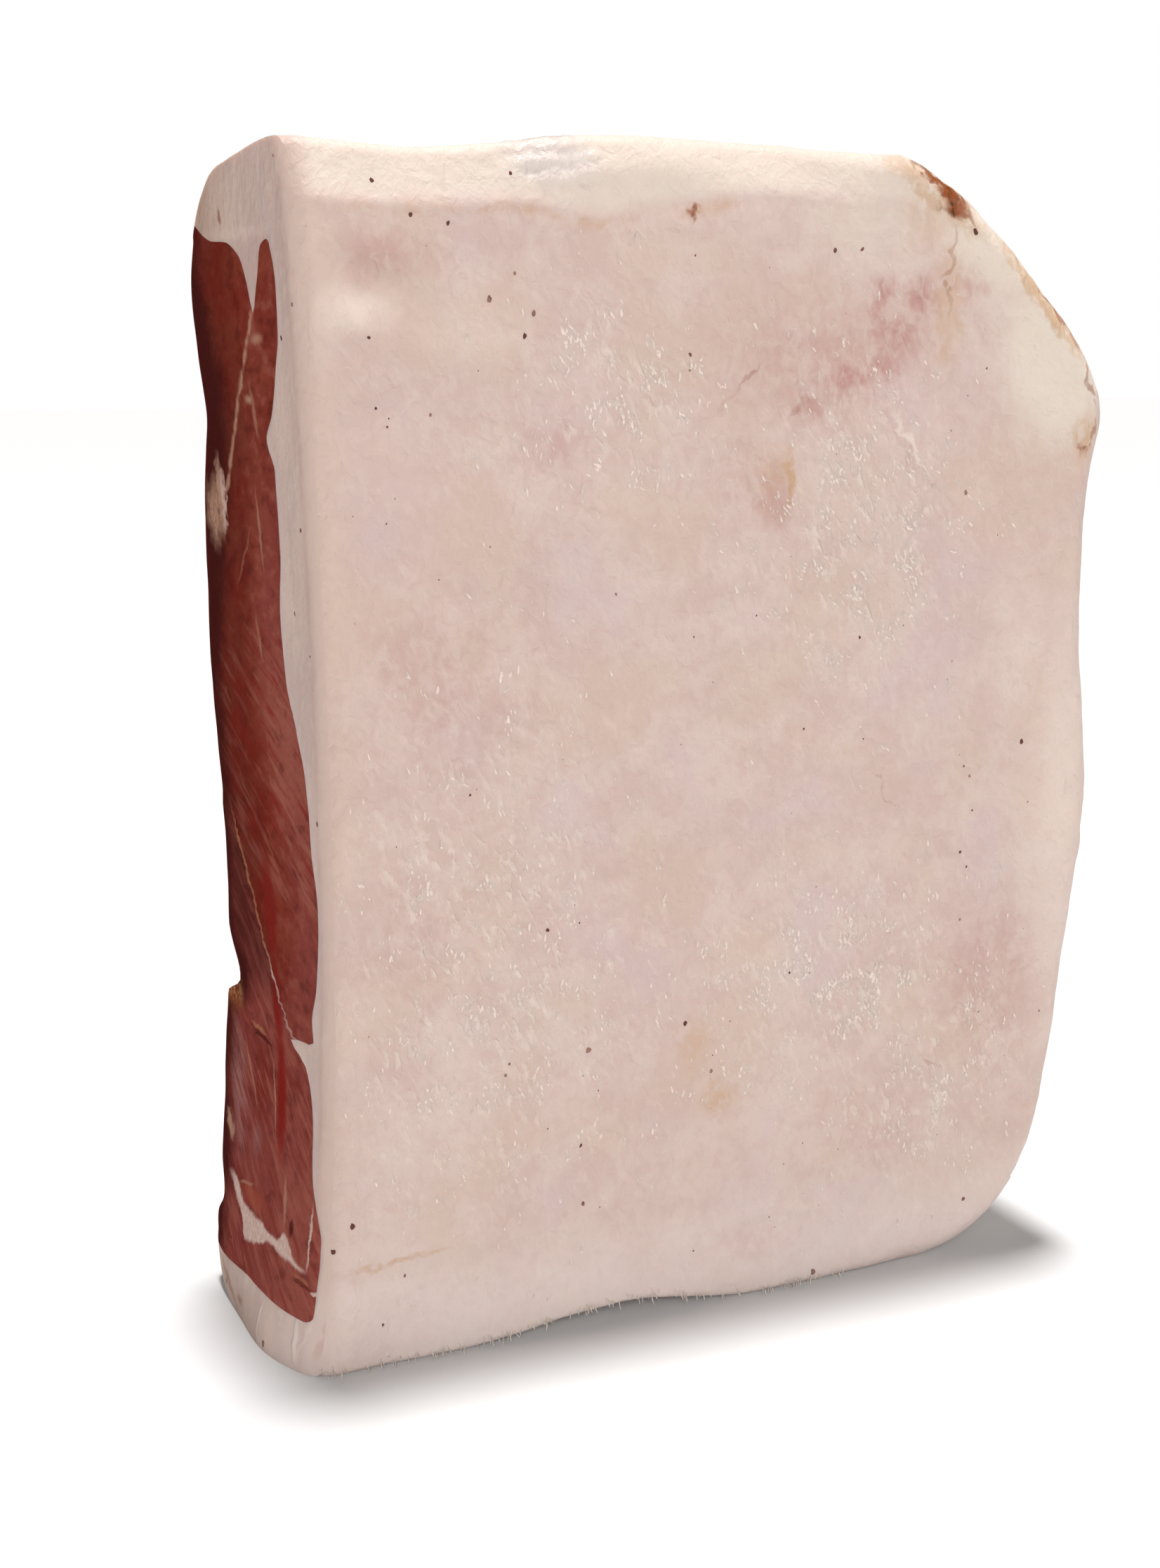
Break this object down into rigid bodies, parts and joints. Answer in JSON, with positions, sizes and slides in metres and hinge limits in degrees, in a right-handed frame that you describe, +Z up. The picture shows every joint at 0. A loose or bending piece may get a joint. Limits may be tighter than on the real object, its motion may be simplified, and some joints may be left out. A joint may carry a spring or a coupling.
{
  "type": "speck ham",
  "caption": "Thick knife-cut piece of cured, smoked pork leg standing upright, with a pale fat cover over dark red lean.",
  "frame": {"origin": "bottom centre of the box around the standing piece, on the surface that it stands on", "axes": "+Z up; +Y from the fat cover through to the meat side; +X from the knife's cut to the natural rounded end"},
  "size_m": [0.1906, 0.0676, 0.2436],
  "materials": {
    "cured_fat": "satin, slightly moist cured fat",
    "cured_lean": "satin, firm cut lean with a dry smoked back"
  },
  "bodies": {
    "root": {"fat_cover": "cured_fat", "lean": "cured_lean"}
  },
  "joints": []
}
